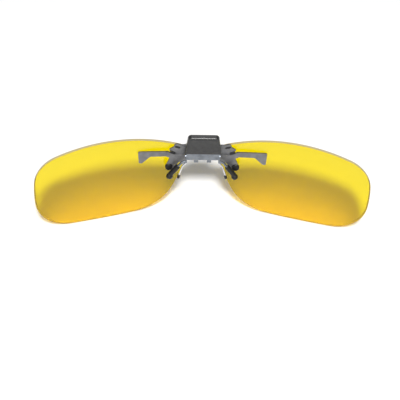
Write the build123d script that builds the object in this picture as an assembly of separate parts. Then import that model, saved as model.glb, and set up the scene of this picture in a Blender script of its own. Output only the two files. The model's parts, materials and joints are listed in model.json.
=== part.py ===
from build123d import *
import os
from math import cos, degrees, radians, sin

# Clip-on sunglasses: two rimless yellow lenses on a stamped bridge plate, with a sprung rear jaw
# that is squeezed open by its black lever cover and grips the wearer's spectacle lenses.
# Millimetres. +X is the wearer's right-hand lens side seen from behind, +Y is the way the wearer
# looks, +Z is up. Everything is modelled about the middle of the lens pair's rear surface and
# moved at the end, so that the lenses stand on Z = 0 and the origin is under the box's centre.

# ---- driving dimensions ----
lens_radius = 132.5          # rear surface, a base-4 sphere
lens_thickness = 1.2
lens_half_height = 17.80     # from the sphere's axis down to the lowest point
wrap_slope = 5.7             # degrees that wings and arms lean back on each side

plate_thickness = 0.6        # bridge plate and support arms, stainless sheet
panel_front_y = -1.2         # front face of the bridge plate's middle panel
wing_front_y = -0.62         # where the wing planes would meet the middle plane
root_front_y = wing_front_y - plate_thickness - 0.02
arm_front_y = wing_front_y - 0.2    # the arms step forward past the wings' edges
arm_step_x = 13.15
arm_bend = 1.0               # degrees that each arm then turns in towards its lens

hinge_y = -3.7
hinge_z = 10.3
pin_radius = 0.5
running_gap = 0.03           # radial, between the pin and the jaw's cheeks
jaw_outer_radius = 1.5
jaw_sheet = 0.45
jaw_half_width = 6.5
cheek_thickness = 0.5
lever_tilt = 8.0             # degrees that the lever leans back from upright

cover_low = 2.95             # along the lever, from the hinge axis
cover_high = 11.35
cover_rear = 2.3             # behind the hinge axis, square to the lever
cover_thickness = 2.25
cover_half_low = 7.05
cover_half_high = 5.85

wire_radius = 0.15           # torsion spring
coil_radius = 0.72
coil_pitch = 0.36
coil_turns = 10

lens_depth = lens_radius * 0.2

sphere_centre = Pos(0, -lens_radius, 0)
wing_plane = Plane(
    origin=(0, wing_front_y, 0),
    x_dir=(cos(radians(wrap_slope)), -sin(radians(wrap_slope)), 0),
    z_dir=(-sin(radians(wrap_slope)), -cos(radians(wrap_slope)), 0),
)
root_plane = Plane(origin=(0, root_front_y, 0), x_dir=wing_plane.x_dir, z_dir=wing_plane.z_dir)
flat_arm_plane = Plane(origin=(0, arm_front_y, 0), x_dir=wing_plane.x_dir, z_dir=wing_plane.z_dir)
arm_plane = Plane(flat_arm_plane * Pos(arm_step_x, 0, 0) * Rot(0, arm_bend, 0) * Pos(-arm_step_x, 0, 0))
lever_plane = Plane(
    origin=(0, hinge_y, hinge_z),
    x_dir=(1, 0, 0),
    z_dir=(0, -cos(radians(lever_tilt)), -sin(radians(lever_tilt))),
)

parts = {}


def both_sides(name, solid):
    """Store a right-hand piece and its mirror image."""
    parts["right_" + name] = solid
    parts["left_" + name] = mirror(solid, about=Plane.YZ)


def bowed(start, end, rise):
    """An arc from start to end whose middle stands off the chord by rise, to its left."""
    start = Vector(*start)
    end = Vector(*end)
    chord = end - start
    normal = Vector(-chord.Y, chord.X).normalized()
    return ThreePointArc(start, (start + end) * 0.5 + normal * rise, end)


def rounded_outline(points, radii):
    """A closed polygon with its own corner radius at each point; 0 leaves a corner sharp."""
    outline = Wire.make_polygon([Vector(*p) for p in points], close=True)
    for point, radius in zip(points, radii):
        if radius > 0:
            corner = outline.vertices().sort_by_distance((point[0], point[1], 0))[0]
            outline = outline.fillet_2d(radius, [corner])
    return outline


def sheet(plane, outline, thickness, offset=0.0):
    """A flat piece cut to an outline, thickened from the plane towards its normal."""
    face = plane * Pos(0, 0, offset) * Face(outline)
    return extrude(face, amount=thickness, dir=plane.z_dir)


def x_disc(radius, x_low, x_high, y=hinge_y, z=hinge_z):
    """A round slug along X."""
    middle = (x_low + x_high) / 2
    return Pos(middle, y, z) * Rot(0, 90, 0) * Cylinder(radius, x_high - x_low)


def block(x, y, z):
    """A box from (low, high) pairs."""
    size = [high - low for low, high in (x, y, z)]
    middle = [(high + low) / 2 for low, high in (x, y, z)]
    return Pos(*middle) * Box(*size)


def bent_wire(points, bends, radius):
    """A round wire along straight runs joined by tangent arcs."""
    path = FilletPolyline(*points, radius=bends)
    start = Plane(origin=path @ 0, z_dir=path % 0)
    return sweep(start * Circle(radius), path=path)


def ball(radius):
    return sphere_centre * Sphere(radius)


# ---- lenses: four bowed sides with rounded corners, cut from a thin spherical shell ----
lens_nasal_top = (6.2, 12.7)
lens_outer_top = (62.6, 13.0)
lens_outer_low = (61.2, -15.4)
lens_nasal_low = (17.2, -15.0)


def lens_outline():
    outline = Wire([
        bowed(lens_nasal_top, lens_outer_top, 4.94),
        bowed(lens_outer_top, lens_outer_low, 1.97),
        bowed(lens_outer_low, lens_nasal_low, 2.58),
        bowed(lens_nasal_low, lens_nasal_top, 2.39),
    ])
    corners = (
        (lens_nasal_top, 3.5),
        (lens_outer_top, 10.7),
        (lens_outer_low, 14.7),
        (lens_nasal_low, 18.9),
    )
    for point, radius in corners:
        corner = outline.vertices().sort_by_distance((point[0], point[1], 0))[0]
        outline = outline.fillet_2d(radius, [corner])
    return outline


# Each wing has two claws: tabs that pass through the lens and fold over on its front.
# Centre (x, z), turn in degrees, and width of each tab.
claws = (
    (9.75, 12.75, -158.0, 1.7),
    (11.45, 10.55, -152.0, 1.7),
)
claw_sheet = 0.4
claw_fold = 1.25
slot_gap = 0.12


def claw_place(x, z, turn):
    return Plane.XZ * Pos(x, z, 0) * Rot(0, 0, turn)


def lens():
    blank = extrude(Plane.XZ * Face(lens_outline()), amount=lens_depth, both=True)
    body = (blank & ball(lens_radius + lens_thickness)) - ball(lens_radius)
    for x, z, turn, width in claws:
        slot = claw_place(x, z, turn) * Box(width + 2 * slot_gap, claw_sheet + 2 * slot_gap, 8)
        body -= slot
    return body


both_sides("lens", lens())

# ---- bridge plate: middle panel, two wings, two hinge ears and four folded claws ----
wing_points = (
    (6.3, 14.3), (8.6, 14.35), (9.7, 14.9), (10.75, 14.75), (11.3, 13.45),
    (12.9, 12.65), (12.75, 11.6), (12.5, 8.0), (9.7, 6.3), (6.3, 6.9),
)
wing_radii = (0, 0.6, 0.7, 0.7, 0.5, 0.55, 0.4, 1.2, 0.8, 0)
# the windows that the claws were lanced out of, seen as dark slits: x, z, turn, length, width
windows = (
    (9.7, 13.35, 20.0, 2.3, 0.85),
    (11.55, 11.2, 25.0, 2.5, 0.85),
)
ear_x = (5.05, 5.55)
ear_radius = 0.95


def window_cutters():
    return [
        Plane.XZ * Pos(x, z, 0) * Rot(0, 0, turn) * extrude(
            SlotOverall(length, width), amount=10, both=True)
        for x, z, turn, length, width in windows
    ]


def bridge_wing():
    wing = sheet(wing_plane, rounded_outline(wing_points, wing_radii), plate_thickness)
    wing -= window_cutters()
    for x, z, turn, width in claws:
        front_y = (lens_radius + lens_thickness) - (x * x + z * z) / (2 * lens_radius) - lens_radius
        root_y = wing_front_y - x * sin(radians(wrap_slope))
        reach = front_y + 0.03 - root_y + claw_sheet
        shank = Box(width, claw_sheet, reach)
        wing += Pos(0, root_y + reach / 2, 0) * claw_place(x, z, turn) * shank
        fold = Box(width, claw_fold, claw_sheet)
        lean = Rot(degrees(z / lens_radius), 0, degrees(-x / lens_radius))
        on_front = Pos(x, front_y + 0.05 + claw_sheet / 2, z) * lean * Rot(90, 0, 0) * Rot(0, 0, turn)
        wing += on_front * Pos(0, claw_fold / 2 - claw_sheet / 2, 0) * fold
    return wing


def bridge_plate():
    panel_outline = rounded_outline(
        ((-6.6, 9.0), (6.6, 9.0), (6.6, 14.3), (5.1, 16.2), (-5.1, 16.2), (-6.6, 14.3)),
        (0, 0, 0.6, 0.8, 0.8, 0.6),
    )
    panel = sheet(Plane.XZ, panel_outline, plate_thickness, offset=-panel_front_y)
    wing = bridge_wing()
    plate = panel + wing + mirror(wing, about=Plane.YZ)
    for side in (-1, 1):
        low, high = sorted((side * ear_x[0], side * ear_x[1]))
        neck = block((low, high), (hinge_y, panel_front_y - 0.2), (hinge_z - 0.7, hinge_z + 0.7))
        ear = neck + x_disc(ear_radius, low, high)
        plate += ear - x_disc(pin_radius + 0.005, low - 1, high + 1)
    return plate


parts["bridge_plate"] = bridge_plate()

# ---- black pads that keep the wings off the lenses ----
pad_points = ((7.6, 13.4), (9.9, 14.0), (12.3, 12.3), (12.2, 8.6), (9.9, 7.7), (7.9, 8.0))


def lens_pad():
    outline = rounded_outline(pad_points, (0.8, 0.6, 0.5, 0.8, 0.6, 0.6))
    blank = extrude(wing_plane * Pos(0, 0, -0.02) * Face(outline), amount=3, dir=-wing_plane.z_dir)
    pad = blank & ball(lens_radius - 0.03)
    for x, z, turn, width in claws:
        pad -= claw_place(x, z, turn) * Box(width + 2 * slot_gap, claw_sheet + 2 * slot_gap, 12)
    return pad


both_sides("lens_pad", lens_pad())

# ---- support arms: a long arm with a flared end and a short front leg, one stamping a side ----
root_points = (
    (7.4, 10.4), (10.3, 10.4), (12.6, 11.55), (14.0, 11.6), (14.0, 9.5),
    (12.7, 9.0), (14.2, 5.3), (13.3, 3.6), (11.5, 4.1), (8.9, 6.8), (7.4, 7.2),
)
root_radii = (0.5, 0.8, 0.9, 0.2, 0.2, 0.5, 0.9, 0.6, 0.6, 1.2, 0.5)
arm_points = (
    (arm_step_x, 11.6), (24.95, 11.85), (24.65, 6.6), (23.45, 6.5), (20.3, 9.5), (arm_step_x, 9.4),
)
arm_radii = (0, 0.7, 0.5, 0.5, 1.2, 0)


def support_arm():
    root = sheet(root_plane, rounded_outline(root_points, root_radii), plate_thickness)
    arm = sheet(arm_plane, rounded_outline(arm_points, arm_radii), plate_thickness)
    return root - window_cutters() + arm


both_sides("support_arm", support_arm())

# ---- rubber tips on the front legs ----
front_tip_centre = (13.0, 4.7)
front_tip_radius = 1.5
front_tip_thickness = 1.5


def front_leg_tip():
    middle = root_plane * Pos(*front_tip_centre, plate_thickness / 2)
    tip = middle * Cylinder(front_tip_radius, front_tip_thickness)
    tip = fillet(tip.edges().filter_by(GeomType.CIRCLE), 0.5)
    return tip - support_arm()


both_sides("front_leg_tip", front_leg_tip())

# ---- front cover: the black face that the fingers press against ----
front_cover_thickness = 2.2


def front_cover():
    outline = rounded_outline(
        ((-6.0, 9.3), (6.0, 9.3), (5.1, 16.7), (-5.1, 16.7)), (0.9, 0.9, 1.3, 1.3))
    body = sheet(Plane.XZ, outline, -front_cover_thickness, offset=-panel_front_y - 0.01)
    front = body.faces().sort_by(Axis.Y)[-1]
    return fillet(front.edges(), 0.6)


parts["front_cover"] = front_cover()

# ---- hinge pin with a peened head at each end, and a thin washer inside each cheek ----
head_radius = 0.85
head_thickness = 0.3


def hinge_pin():
    pin = x_disc(pin_radius, -jaw_half_width - 0.1, jaw_half_width + 0.1)
    for side in (-1, 1):
        low, high = sorted((side * (jaw_half_width + 0.03), side * (jaw_half_width + head_thickness)))
        pin += x_disc(head_radius, low, high)
    return pin


def hinge_washers():
    rings = []
    for side in (-1, 1):
        low, high = sorted((side * (ear_x[1] + 0.04), side * (ear_x[1] + 0.38)))
        rings.append(x_disc(0.95, low, high) - x_disc(pin_radius + 0.02, low - 1, high + 1))
    return Compound(rings)


parts["hinge_pin"] = hinge_pin()
parts["hinge_washers"] = hinge_washers()

# ---- torsion spring: a close coil on the pin with a front leg against the panel ----
coil_length = coil_pitch * coil_turns
front_leg_top_z = 13.6


def torsion_spring():
    helix = Helix(pitch=coil_pitch, height=coil_length, radius=coil_radius)
    start = Plane(origin=helix @ 0, z_dir=helix % 0)
    coil = sweep(start * Circle(wire_radius), path=helix, is_frenet=True)
    coil = Pos(-coil_length / 2, hinge_y, hinge_z) * Rot(0, 90, 0) * coil
    return coil


coil = torsion_spring()
end_x = coil_length / 2
leg_front_y = panel_front_y - plate_thickness - wire_radius - 0.02
front_leg = bent_wire(
    [
        (end_x, hinge_y, hinge_z + coil_radius),
        (end_x, leg_front_y, hinge_z + coil_radius + 0.3),
        (end_x, leg_front_y, front_leg_top_z),
    ],
    0.4, wire_radius)
parts["torsion_spring"] = coil + front_leg

# the spring's rear leg lies along the lever and moves with it
rear_leg_depth = jaw_outer_radius - jaw_sheet - wire_radius - 0.02
parts["spring_rear_leg"] = lever_plane * Pos(-end_x, 0, rear_leg_depth) * Rot(-90, 0, 0) * Pos(
    0, 0, 2.0) * Cylinder(wire_radius, 4.0)

# ---- rear jaw plate: the lever, curled under the hinge, with two cheeks and two stop tabs ----
lug_bottom_z = 7.9
tab_x = 2.5
tab_width = 1.7
tab_length = 1.6
lever_top = 10.6


def rear_jaw_plate():
    # section across the hinge, with the first coordinate rearwards and the second up the lever
    inner = jaw_outer_radius - jaw_sheet
    section = Wire([
        Line((jaw_outer_radius, 0), (jaw_outer_radius, lever_top)),
        Line((jaw_outer_radius, lever_top), (inner, lever_top)),
        Line((inner, lever_top), (inner, 0)),
        CenterArc((0, 0), inner, 0, -90),
        Line((0, -inner), (0, -jaw_outer_radius)),
        CenterArc((0, 0), jaw_outer_radius, -90, 90),
    ])
    across = Plane(lever_plane.origin, x_dir=lever_plane.z_dir, z_dir=(-1, 0, 0))
    curled = extrude(across * Face(section), amount=jaw_half_width, both=True)
    lever_outline = rounded_outline(
        ((-jaw_half_width, -2), (jaw_half_width, -2), (6.3, 3.4), (5.2, 4.4), (4.6, lever_top - 0.01),
         (-4.6, lever_top - 0.01), (-5.2, 4.4), (-6.3, 3.4)),
        (0, 0, 0.4, 0.4, 0.8, 0.8, 0.4, 0.4))
    jaw = curled & sheet(lever_plane, lever_outline, 4, offset=-1)
    for side in (-1, 1):
        low, high = sorted((side * (jaw_half_width - cheek_thickness), side * jaw_half_width))
        lug = block((low, high), (hinge_y - 1.3, hinge_y - 0.3), (lug_bottom_z, hinge_z))
        jaw += x_disc(jaw_outer_radius - 0.01, low, high) + lug
        tab = Box(tab_width, tab_length, jaw_sheet)
        jaw += lever_plane * Pos(side * tab_x, -jaw_outer_radius + 0.3 - tab_length / 2, 0.3) * tab
    return jaw - x_disc(pin_radius + running_gap, -10, 10)


parts["rear_jaw_plate"] = rear_jaw_plate()

# ---- rear cover: the black lever cap, with a softer grip pad let into its face ----
pad_inset = 0.85
pad_pocket = 0.35
pad_proud = 0.1


def lever_trapezoid(inset):
    """The cover's outline on the lever plane, drawn smaller all round by inset."""
    low = cover_low + inset
    high = cover_high - inset
    half_low = cover_half_low - inset
    half_high = cover_half_high - inset
    return rounded_outline(
        ((-half_low, low), (half_low, low), (half_high, high), (-half_high, high)),
        (1.0 - inset * 0.4, 1.0 - inset * 0.4, 1.5 - inset * 0.6, 1.5 - inset * 0.6))


def rear_cover():
    front = cover_rear - cover_thickness
    body = sheet(lever_plane, lever_trapezoid(0), cover_thickness, offset=front)
    rims = body.faces().filter_by(lambda f: abs(f.normal_at().dot(lever_plane.z_dir)) > 0.99)
    body = fillet(rims.edges(), 0.35)
    pocket = sheet(lever_plane, lever_trapezoid(pad_inset), pad_pocket + 1, offset=cover_rear - pad_pocket)
    return body - pocket - parts["rear_jaw_plate"]


def grip_pad():
    thickness = pad_pocket + pad_proud - 0.01
    return sheet(lever_plane, lever_trapezoid(pad_inset + 0.03), thickness, offset=cover_rear - pad_pocket + 0.01)


parts["rear_cover"] = rear_cover() - parts["spring_rear_leg"]
parts["rear_grip_pad"] = grip_pad()

# ---- rear legs: bent wires from the cheeks, each with a rubber sleeve that ends in a ball ----
leg_radius = 0.5
leg_points = [
    (jaw_half_width, -4.55, 8.6),
    (8.1, -4.7, 7.9),
    (12.2, -5.1, 2.9),
    (12.6, -5.1, 1.8),
]
sleeve_points = [(9.4, -4.827, 6.315), (12.2, -5.1, 2.9), (12.6, -5.1, 1.8)]
sleeve_radius = 1.0
tip_radius = 1.3


def rear_leg():
    return bent_wire(leg_points, 0.8, leg_radius) - parts["rear_jaw_plate"]


def rear_leg_sleeve():
    sleeve = bent_wire(sleeve_points, 0.8, sleeve_radius)
    sleeve += Pos(*leg_points[-1]) * Sphere(tip_radius)
    return sleeve - rear_leg()


both_sides("rear_leg", rear_leg())
both_sides("rear_leg_sleeve", rear_leg_sleeve())

# ---- thin nose-side wires with a small dark tip ----
nose_wire_radius = 0.3
nose_wire_points = [
    (jaw_half_width - cheek_thickness / 2, -4.5, lug_bottom_z),
    (7.7, -4.7, 6.4),
    (8.9, -5.0, 2.6),
    (9.2, -5.0, 1.2),
]
nose_tip_radius = 0.55


def nose_wire():
    return bent_wire(nose_wire_points, 0.6, nose_wire_radius) - parts["rear_jaw_plate"]


def nose_wire_tip():
    low = Vector(*nose_wire_points[-1])
    along = (Vector(*nose_wire_points[-2]) - low).normalized()
    tube = Plane(origin=low, z_dir=along) * Pos(0, 0, 0.55) * Cylinder(nose_tip_radius, 1.1)
    return tube + Pos(*low) * Sphere(nose_tip_radius) - nose_wire()


both_sides("nose_wire", nose_wire())
both_sides("nose_wire_tip", nose_wire_tip())

# ---- move everything so the lenses stand on Z = 0 with the box centred in Y, and write it ----
whole = Compound([solid for piece in parts.values() for solid in piece.solids()]).bounding_box()
shift = Pos(0, -(whole.min.Y + whole.max.Y) / 2, -whole.min.Z)
os.makedirs("parts", exist_ok=True)
for name, piece in parts.items():
    export_step(shift * piece, "parts/" + name + ".step")
print("shift", shift.position.Y, shift.position.Z)
print("hinge", hinge_y + shift.position.Y, hinge_z + shift.position.Z)
print("box", whole.size)
rest = shift * (arm_plane * Pos(23.5, 9.9, plate_thickness))
print("arm rest", rest.position, arm_plane.z_dir)
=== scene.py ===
"""Looks of the clip-on sunglasses: lenses, metalwork, rubber, covers, stage and camera."""
import json
from math import atan2, cos, pi, radians, sin, sqrt

import bmesh
import bpy
from mathutils import Matrix, Vector


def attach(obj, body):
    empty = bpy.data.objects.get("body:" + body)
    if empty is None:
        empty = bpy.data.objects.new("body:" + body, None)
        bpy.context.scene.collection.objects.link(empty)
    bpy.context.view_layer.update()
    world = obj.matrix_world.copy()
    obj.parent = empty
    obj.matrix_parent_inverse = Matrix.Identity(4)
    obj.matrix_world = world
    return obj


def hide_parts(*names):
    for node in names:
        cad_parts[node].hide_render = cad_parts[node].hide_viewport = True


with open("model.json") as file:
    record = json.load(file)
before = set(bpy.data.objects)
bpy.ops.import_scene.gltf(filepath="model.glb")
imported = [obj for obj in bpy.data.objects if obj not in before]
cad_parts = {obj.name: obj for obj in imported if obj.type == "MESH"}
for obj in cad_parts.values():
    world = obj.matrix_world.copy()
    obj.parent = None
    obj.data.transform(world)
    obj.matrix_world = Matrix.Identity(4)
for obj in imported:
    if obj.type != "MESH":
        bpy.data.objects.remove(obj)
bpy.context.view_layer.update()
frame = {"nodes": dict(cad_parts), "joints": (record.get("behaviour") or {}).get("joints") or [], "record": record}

MM = 0.001

# Sizes below are in millimetres from the middle of the lens pair's rear surface, as in the design.
lens_radius = 132.5
lens_thickness = 1.2
hinge_y = -3.7
hinge_z = 10.3
lever_tilt = radians(8.0)

hinge = Vector(frame["joints"][0]["pos_m"])
origin = hinge - Vector((0, hinge_y, hinge_z)) * MM


def place(x, y, z):
    """A design point, in metres in the row's frame."""
    return origin + Vector((x, y, z)) * MM


# ---------------------------------------------------------------- node helpers
class Nodes:
    """A material's node tree with short ways to add and join nodes."""

    def __init__(self, name):
        self.material = bpy.data.materials.new(name)
        self.material.use_nodes = True
        self.tree = self.material.node_tree
        self.shader = self.tree.nodes["Principled BSDF"]
        self.output = self.tree.nodes["Material Output"]

    def add(self, kind, **values):
        node = self.tree.nodes.new(kind)
        for key, value in values.items():
            if hasattr(node, key):
                setattr(node, key, value)
            else:
                node.inputs[key.replace("_", " ")].default_value = value
        return node

    def join(self, source, target):
        self.tree.links.new(source, target)

    def set(self, **values):
        for key, value in values.items():
            self.shader.inputs[key.replace("_", " ")].default_value = value

    def coords(self, scale=(1, 1, 1), turn=(0, 0, 0)):
        """Object coordinates in millimetres, stretched and turned."""
        source = self.add("ShaderNodeTexCoord").outputs["Object"]
        mapping = self.add("ShaderNodeMapping")
        mapping.inputs["Scale"].default_value = [1000 * s for s in scale]
        mapping.inputs["Rotation"].default_value = turn
        self.join(source, mapping.inputs["Vector"])
        return mapping.outputs["Vector"]

    def noise(self, vector, scale, detail=3.0, rough=0.5):
        node = self.add("ShaderNodeTexNoise", Scale=scale, Detail=detail, Roughness=rough)
        self.join(vector, node.inputs["Vector"])
        return node.outputs["Fac"]

    def ramp(self, value, stops):
        node = self.add("ShaderNodeValToRGB")
        points = node.color_ramp.elements
        while len(points) < len(stops):
            points.new(0.5)
        for point, (position, colour) in zip(points, stops):
            point.position = position
            point.color = (*colour, 1) if len(colour) == 3 else colour
        self.join(value, node.inputs["Fac"])
        return node.outputs["Color"]

    def spread(self, value, low, high, start=0.3, end=0.7):
        """Maps a pattern's start..end onto low..high."""
        node = self.add("ShaderNodeMapRange")
        node.inputs["From Min"].default_value = start
        node.inputs["From Max"].default_value = end
        node.inputs["To Min"].default_value = low
        node.inputs["To Max"].default_value = high
        self.join(value, node.inputs["Value"])
        return node.outputs["Result"]

    def math(self, operation, one, two=0.0, three=0.0, clamp=False):
        """A sum of sockets and numbers, as one math node."""
        node = self.add("ShaderNodeMath", operation=operation, use_clamp=clamp)
        for value, target in zip((one, two, three), node.inputs):
            if isinstance(value, (int, float)):
                target.default_value = value
            else:
                self.join(value, target)
        return node.outputs[0]

    def bump(self, height, strength, distance):
        node = self.add("ShaderNodeBump", Strength=strength, Distance=distance)
        self.join(height, node.inputs["Height"])
        self.join(node.outputs["Normal"], self.shader.inputs["Normal"])


def grey(level):
    return (level, level, level)


# ---------------------------------------------------------------- materials
lens_tint = (0.83, 0.66, 0.001)
lens_shadow = (0.32, 0.19, 0.005)
rim_colour = (0.72, 0.60, 0.30)
rim_openness = 0.4


def yellow_lens():
    """Tinted, polished plastic with a paler satin rim; lamps cast an amber shadow through it."""
    m = Nodes("yellow_lens")
    m.set(Base_Color=(*lens_tint, 1), Transmission_Weight=1.0, IOR=1.5)
    smear = m.noise(m.coords((0.05, 0.05, 0.09)), 1.0, 4.0)
    m.join(m.spread(smear, 0.012, 0.045), m.shader.inputs["Roughness"])

    # the rim is wherever the surface turns away from the line to the sphere's centre
    source = m.add("ShaderNodeTexCoord")
    line = m.add("ShaderNodeVectorMath", operation="SUBTRACT")
    m.join(source.outputs["Object"], line.inputs[0])
    line.inputs[1].default_value = place(0, -lens_radius, 0)
    unit = m.add("ShaderNodeVectorMath", operation="NORMALIZE")
    m.join(line.outputs[0], unit.inputs[0])
    facing = m.add("ShaderNodeVectorMath", operation="DOT_PRODUCT")
    m.join(unit.outputs[0], facing.inputs[0])
    m.join(m.add("ShaderNodeNewGeometry").outputs["Normal"], facing.inputs[1])
    on_rim = m.spread(m.math("ABSOLUTE", facing.outputs["Value"]), 1.0, 0.0, 0.72, 0.86)
    satin = m.add("ShaderNodeBsdfPrincipled", Base_Color=(*rim_colour, 1), Roughness=0.42)
    open_rim = m.add("ShaderNodeBsdfTransparent", Color=(*rim_colour, 1))
    rim = m.add("ShaderNodeMixShader")
    rim.inputs[0].default_value = rim_openness
    m.join(satin.outputs[0], rim.inputs[1])
    m.join(open_rim.outputs[0], rim.inputs[2])
    whole = m.add("ShaderNodeMixShader")
    m.join(on_rim, whole.inputs[0])
    m.join(m.shader.outputs[0], whole.inputs[1])
    m.join(rim.outputs[0], whole.inputs[2])

    rays = m.add("ShaderNodeLightPath")
    clear = m.add("ShaderNodeBsdfTransparent", Color=(*lens_shadow, 1))
    mix = m.add("ShaderNodeMixShader")
    m.join(rays.outputs["Is Shadow Ray"], mix.inputs[0])
    m.join(whole.outputs[0], mix.inputs[1])
    m.join(clear.outputs[0], mix.inputs[2])
    m.join(mix.outputs[0], m.output.inputs["Surface"])
    return m.material


def steel(name, base, dark, rough_low, rough_high, streak=(0.35, 6.0, 6.0), turn=(0, 0, 0)):
    """Metal with fine drawn or brushed streaks, faint stains and slightly uneven gloss."""
    m = Nodes(name)
    m.set(Metallic=1.0)
    streaks = m.noise(m.coords(streak, turn), 1.6, 6.0, 0.65)
    cloud = m.noise(m.coords((0.5, 0.5, 0.5)), 1.0, 3.0)
    both = m.add("ShaderNodeMath", operation="MULTIPLY_ADD")
    m.join(streaks, both.inputs[0])
    both.inputs[1].default_value = 0.6
    m.join(m.spread(cloud, 0.0, 0.4), both.inputs[2])
    colour = m.ramp(both.outputs[0], [(0.28, dark), (0.62, base)])
    m.join(colour, m.shader.inputs["Base Color"])
    m.join(m.spread(streaks, rough_low, rough_high), m.shader.inputs["Roughness"])
    m.bump(streaks, 0.25, 0.00003)
    return m.material


def black_plastic():
    m = Nodes("black_plastic")
    grain = m.noise(m.coords((1, 1, 1)), 9.0, 4.0, 0.6)
    cloud = m.noise(m.coords((1, 1, 1)), 0.8, 3.0)
    m.join(m.ramp(cloud, [(0.3, grey(0.008)), (0.7, grey(0.018))]), m.shader.inputs["Base Color"])
    m.join(m.spread(grain, 0.22, 0.40), m.shader.inputs["Roughness"])
    m.set(Coat_Weight=0.25, Coat_Roughness=0.15)
    m.bump(grain, 0.35, 0.00004)
    return m.material


def grip_pad():
    m = Nodes("grip_pad")
    grain = m.noise(m.coords((1, 1, 1)), 7.0, 5.0, 0.7)
    cloud = m.noise(m.coords((1, 1, 1)), 0.7, 3.0)
    m.join(m.ramp(cloud, [(0.3, grey(0.026)), (0.7, grey(0.040))]), m.shader.inputs["Base Color"])
    m.join(m.spread(grain, 0.62, 0.85), m.shader.inputs["Roughness"])
    m.bump(grain, 0.6, 0.00006)
    return m.material


def black_rubber():
    m = Nodes("black_rubber")
    grain = m.noise(m.coords((1, 1, 1)), 3.5, 5.0, 0.6)
    m.join(m.ramp(grain, [(0.3, grey(0.004)), (0.75, grey(0.011))]), m.shader.inputs["Base Color"])
    m.join(m.spread(grain, 0.34, 0.52), m.shader.inputs["Roughness"])
    m.set(Specular_IOR_Level=0.35)
    m.bump(grain, 0.4, 0.00005)
    return m.material


materials = {
    "yellow_lens": yellow_lens(),
    "brushed_steel": steel("brushed_steel", (0.25, 0.25, 0.255), (0.18, 0.18, 0.185), 0.50, 0.64),
    "bright_steel": steel("bright_steel", (0.24, 0.26, 0.29), (0.16, 0.175, 0.20), 0.34, 0.46),
    "black_plastic": black_plastic(),
    "grip_pad": grip_pad(),
    "black_rubber": black_rubber(),
    "silver_wire": steel("silver_wire", (0.78, 0.78, 0.80), (0.55, 0.55, 0.57), 0.14, 0.26),
    "spring_steel": steel("spring_steel", (0.42, 0.40, 0.36), (0.25, 0.23, 0.20), 0.28, 0.42),
}
slot_of = {part["node"]: part["material_slot"] for part in frame["record"]["subparts"]}


def finish_piece(piece, slot, sharp=35.0):
    """Smooth shading with sharp edges kept, and the material for its slot."""
    piece.data.materials.clear()
    piece.data.materials.append(materials[slot])
    piece.data.shade_smooth()
    piece.data.set_sharp_from_angle(angle=radians(sharp))


def mesh_from(name, verts, faces):
    mesh = bpy.data.meshes.new(name)
    mesh.from_pydata([tuple(v) for v in verts], [], faces)
    work = bmesh.new()
    work.from_mesh(mesh)
    bmesh.ops.remove_doubles(work, verts=work.verts, dist=1e-7)
    bmesh.ops.recalc_face_normals(work, faces=work.faces)
    work.to_mesh(mesh)
    work.free()
    return mesh


# ---------------------------------------------------------------- lens outline
class Arc:
    """A circular side of an outline, bowed to the left of its chord by rise."""

    def __init__(self, start, end, rise):
        start, end = Vector(start), Vector(end)
        chord = end - start
        half = chord.length / 2
        normal = Vector((-chord.y, chord.x)).normalized()
        self.radius = (half * half + rise * rise) / (2 * rise)
        self.centre = (start + end) / 2 - normal * (self.radius - rise)


def corner_circle(one, two, radius, corner):
    """Centre of the circle inside both arcs that touches each of them."""
    a, b = one.centre, two.centre
    reach_a, reach_b = one.radius - radius, two.radius - radius
    gap = (b - a).length
    along = (reach_a ** 2 - reach_b ** 2 + gap ** 2) / (2 * gap)
    up = sqrt(max(reach_a ** 2 - along ** 2, 0))
    unit = (b - a).normalized()
    side = Vector((-unit.y, unit.x))
    choices = [a + unit * along + side * up * s for s in (1, -1)]
    return min(choices, key=lambda c: (c - Vector(corner)).length)


lens_corners = ((6.2, 12.7), (62.6, 13.0), (61.2, -15.4), (17.2, -15.0))
lens_rises = (4.94, 1.97, 2.58, 2.39)
lens_corner_radii = (3.5, 10.7, 14.7, 18.9)


def lens_outline(step=0.45):
    """Points round the right-hand lens, clockwise from its top, step millimetres apart."""
    count = len(lens_corners)
    sides = [
        Arc(lens_corners[i], lens_corners[(i + 1) % count], lens_rises[i]) for i in range(count)
    ]
    rounds = [
        corner_circle(sides[i - 1], sides[i], lens_corner_radii[i], lens_corners[i])
        for i in range(count)
    ]

    def touch(side, centre):
        return side.centre + (centre - side.centre).normalized() * side.radius

    points = []

    def sweep(centre, radius, start, end):
        first = atan2(start.y - centre.y, start.x - centre.x)
        last = atan2(end.y - centre.y, end.x - centre.x)
        if last > first:
            last -= 2 * pi
        steps = max(2, round((first - last) * radius / step))
        for i in range(steps):
            angle = first + (last - first) * i / steps
            points.append(centre + Vector((cos(angle), sin(angle))) * radius)

    for i in range(count):
        following = (i + 1) % count
        leaves = touch(sides[i], rounds[i])
        arrives = touch(sides[i], rounds[following])
        sweep(sides[i].centre, sides[i].radius, leaves, arrives)
        sweep(rounds[following], lens_corner_radii[following], arrives, touch(sides[following], rounds[following]))
    return points


def on_sphere(x, z, radius):
    """Y of a sphere about the lens pair's centre of curvature."""
    return sqrt(radius * radius - x * x - z * z) - lens_radius


claws = ((9.75, 12.75, -158.0, 1.7), (11.45, 10.55, -152.0, 1.7))
claw_slot_depth = 0.64
claw_slot_extra = 0.24
lens_bevel = 0.28
lens_rings = 26
lens_edge_steps = 5


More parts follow.
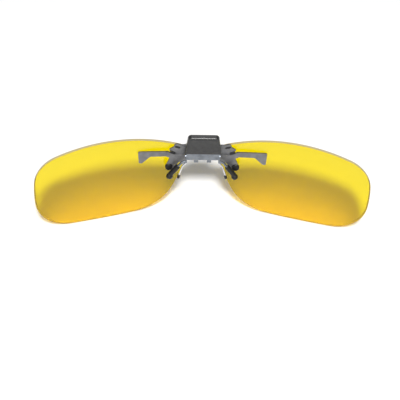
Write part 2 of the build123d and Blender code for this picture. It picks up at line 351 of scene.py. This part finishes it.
def lens_mesh(side):
    """Two spherical faces in rings about the middle, joined by a rounded, slightly bevelled rim."""
    outline = lens_outline()
    count = len(outline)
    middle = Vector((36.0, 0.0))
    verts = []
    faces = []

    def ring(points, radius):
        for p in points:
            verts.append(place(side * p.x, on_sphere(p.x, p.y, radius), p.y))

    rear, front = lens_radius, lens_radius + lens_thickness
    rows = 0

    def shrink(amount):
        """The outline drawn in by a distance, measured towards the middle."""
        return [p + (middle - p).normalized() * amount for p in outline]

    def inner(share):
        edge = shrink(lens_bevel)
        return [middle + (p - middle) * share for p in edge]

    for i in range(1, lens_rings + 1):
        ring(inner(i / lens_rings), rear)
        rows += 1
    for i in range(1, lens_edge_steps):
        turn = pi / 2 * i / lens_edge_steps
        ring(shrink(lens_bevel * (1 - sin(turn))), rear + lens_bevel * (1 - cos(turn)))
        rows += 1
    for i in range(lens_edge_steps, 0, -1):
        turn = pi / 2 * i / lens_edge_steps
        ring(shrink(lens_bevel * (1 - sin(turn))), front - lens_bevel * (1 - cos(turn)))
        rows += 1
    for i in range(lens_rings, 0, -1):
        ring(inner(i / lens_rings), front)
        rows += 1
    for row in range(rows - 1):
        for i in range(count):
            j = (i + 1) % count
            faces.append((row * count + i, row * count + j, (row + 1) * count + j, (row + 1) * count + i))
    for radius, first in ((rear, 0), (front, (rows - 1) * count)):
        verts.append(place(side * middle.x, on_sphere(middle.x, middle.y, radius), middle.y))
        hub = len(verts) - 1
        for i in range(count):
            faces.append((hub, first + i, first + (i + 1) % count))
    return mesh_from("lens", verts, faces)


def cut_slots(piece, side):
    """Cuts the two slots that the bridge plate's claws pass through."""
    for x, z, turn, width in claws:
        bpy.ops.mesh.primitive_cube_add(size=1, location=place(side * x, 0, z))
        cutter = bpy.context.object
        cutter.scale = ((width + claw_slot_extra) * MM, 8 * MM, claw_slot_depth * MM)
        cutter.rotation_euler = (0, -radians(turn) * side, 0)
        cut = piece.modifiers.new("slot", "BOOLEAN")
        cut.operation = "DIFFERENCE"
        cut.object = cutter
        cut.solver = "EXACT"
        bpy.context.view_layer.update()
        shaped = bpy.data.meshes.new_from_object(piece.evaluated_get(bpy.context.evaluated_depsgraph_get()))
        piece.modifiers.clear()
        piece.data = shaped
        bpy.data.objects.remove(cutter)


def make_lens(name, side):
    piece = bpy.data.objects.new(name + "_shaped", lens_mesh(side))
    bpy.context.scene.collection.objects.link(piece)
    cut_slots(piece, side)
    finish_piece(piece, "yellow_lens", 30.0)
    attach(piece, "front_frame")
    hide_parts(name)
    return piece


# ---------------------------------------------------------------- carried CAD nodes
edge_radius = {
    "bridge_plate": 0.09, "left_support_arm": 0.09, "right_support_arm": 0.09,
    "rear_jaw_plate": 0.07, "hinge_pin": 0.1,
    "left_lens_pad": 0.08, "right_lens_pad": 0.08, "rear_grip_pad": 0.06,
}


def dress_cad():
    """Gives every CAD node its material and a small edge radius where its sheet metal is sharp."""
    for name, node in frame["nodes"].items():
        node.data.materials.clear()
        node.data.materials.append(materials[slot_of[name]])
        if edge_radius.get(name):
            edges = node.modifiers.new("edges", "BEVEL")
            edges.width = edge_radius[name] * MM
            edges.segments = 2
            edges.limit_method = "ANGLE"
            edges.angle_limit = radians(42)
            edges.harden_normals = True


# ---------------------------------------------------------------- stage
floor_half = 3.0
world_light = 0.24


def pale_floor():
    m = Nodes("pale_floor")
    m.set(Base_Color=(0.92, 0.92, 0.92, 1), Roughness=0.9)
    return m.material


def softbox(name, place_at, size, power):
    """A rectangular lamp turned to face the bridge."""
    lamp = bpy.data.lights.new(name, "AREA")
    lamp.shape = "RECTANGLE"
    lamp.size, lamp.size_y = size
    lamp.energy = power
    box = bpy.data.objects.new(name, lamp)
    box.location = place_at
    aim = origin + Vector((0, 0, 0.01)) - box.location
    box.rotation_euler = aim.to_track_quat("-Z", "Y").to_euler()
    bpy.context.scene.collection.objects.link(box)


def make_stage():
    """A plain pale floor under a front key softbox, a soft back light and an even white surround."""
    mesh = bpy.data.meshes.new("floor")
    corners = [(-floor_half, -floor_half, 0), (floor_half, -floor_half, 0),
               (floor_half, floor_half, 0), (-floor_half, floor_half, 0)]
    mesh.from_pydata(corners, [], [(0, 1, 2, 3)])
    mesh.materials.append(pale_floor())
    floor = bpy.data.objects.new("floor", mesh)
    bpy.context.scene.collection.objects.link(floor)

    world = bpy.data.worlds.new("studio")
    world.use_nodes = True
    background = world.node_tree.nodes["Background"]
    background.inputs["Color"].default_value = (1, 1, 1, 1)
    background.inputs["Strength"].default_value = world_light
    bpy.context.scene.world = world

    softbox("key_softbox", (0.0, -1.35, 1.45), (0.26, 0.26), 50.0)
    softbox("back_softbox", (0.04, 0.40, 0.50), (0.34, 0.26), 0.35)


# ---------------------------------------------------------------- camera
camera_distance = 0.5
camera_height_angle = radians(36.0)
camera_turn = radians(-2.854)
camera_roll = radians(2.365)
camera_lens = 115.06
camera_shift = (-0.0039, -0.0692)


def make_camera():
    back = Vector((
        sin(camera_turn) * cos(camera_height_angle),
        -cos(camera_turn) * cos(camera_height_angle),
        sin(camera_height_angle),
    ))
    right = Vector((cos(camera_turn), sin(camera_turn), 0))
    up = back.cross(right)
    level_right = cos(camera_roll) * right + sin(camera_roll) * up
    level_up = -sin(camera_roll) * right + cos(camera_roll) * up
    data = bpy.data.cameras.new("camera")
    data.lens = camera_lens
    data.sensor_width = 36.0
    data.shift_x, data.shift_y = camera_shift
    data.clip_start = 0.01
    camera = bpy.data.objects.new("camera", data)
    bpy.context.scene.collection.objects.link(camera)
    rotation = Matrix((level_right, level_up, back)).transposed().to_4x4()
    camera.matrix_world = Matrix.Translation(origin + back * camera_distance) @ rotation
    bpy.context.scene.camera = camera


bpy.context.scene.view_settings.view_transform = "Standard"
make_stage()
make_camera()
dress_cad()
make_lens("right_lens", 1)
make_lens("left_lens", -1)
